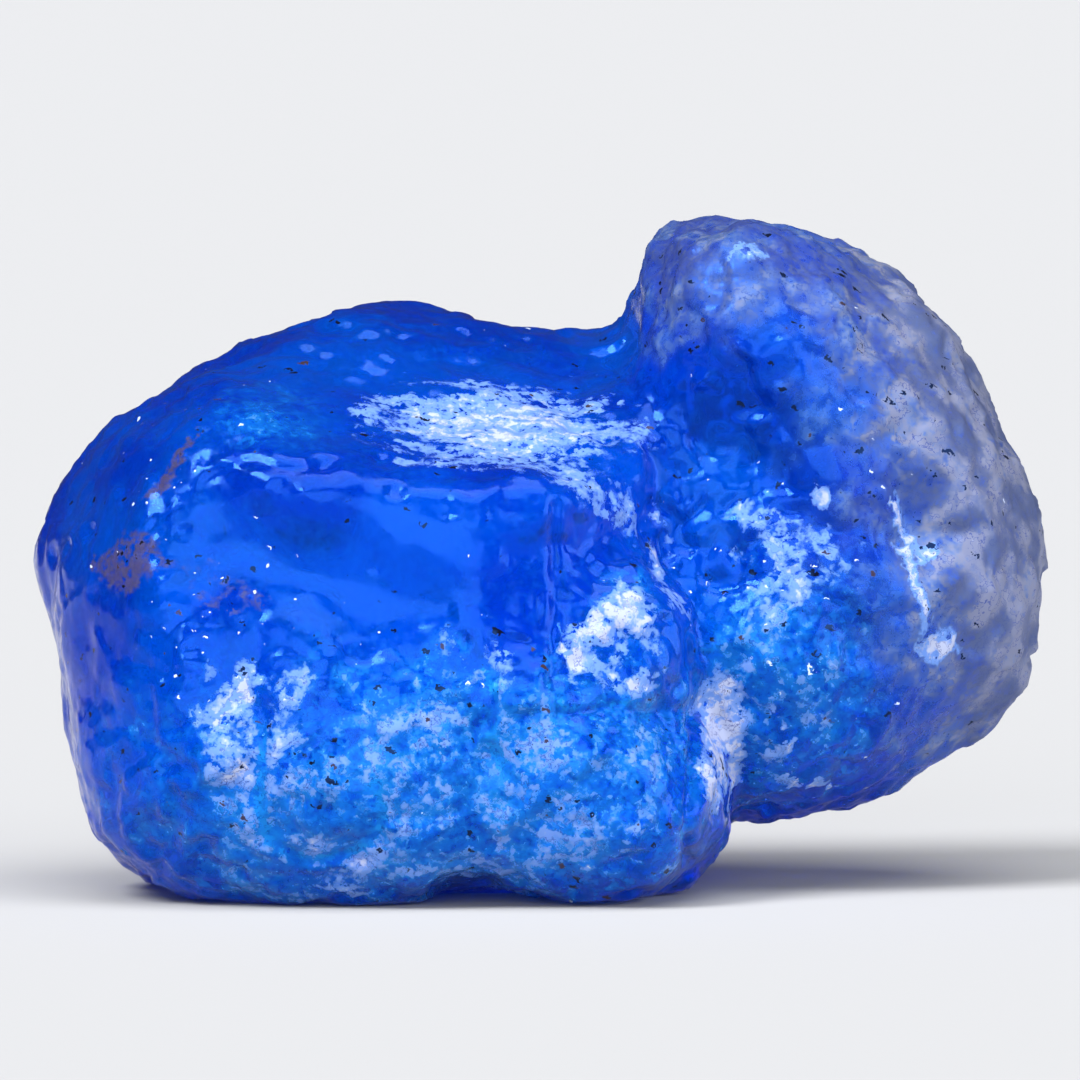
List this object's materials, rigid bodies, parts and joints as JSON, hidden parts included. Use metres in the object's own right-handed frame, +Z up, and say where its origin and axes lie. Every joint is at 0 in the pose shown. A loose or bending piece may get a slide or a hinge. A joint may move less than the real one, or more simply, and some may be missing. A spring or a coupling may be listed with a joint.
{
  "type": "rough tanzanite",
  "caption": "Rough tanzanite crystal fragment: a rounded deep blue block with a pale sloping shelf, and a taller frosted lobe grown to its right end.",
  "frame": {"origin": "middle of the stone's bounding box at the level of the flat spot it rests on", "axes": "+X along the stone from the block to the lobe, +Y to its back, +Z up"},
  "size_m": [0.015, 0.0088, 0.0099],
  "materials": {
    "tanzanite": "see-through deep blue crystal with frosted, lilac-white etched patches and fine dark specks"
  },
  "bodies": {
    "root": {"rough_tanzanite": "tanzanite"}
  },
  "joints": []
}
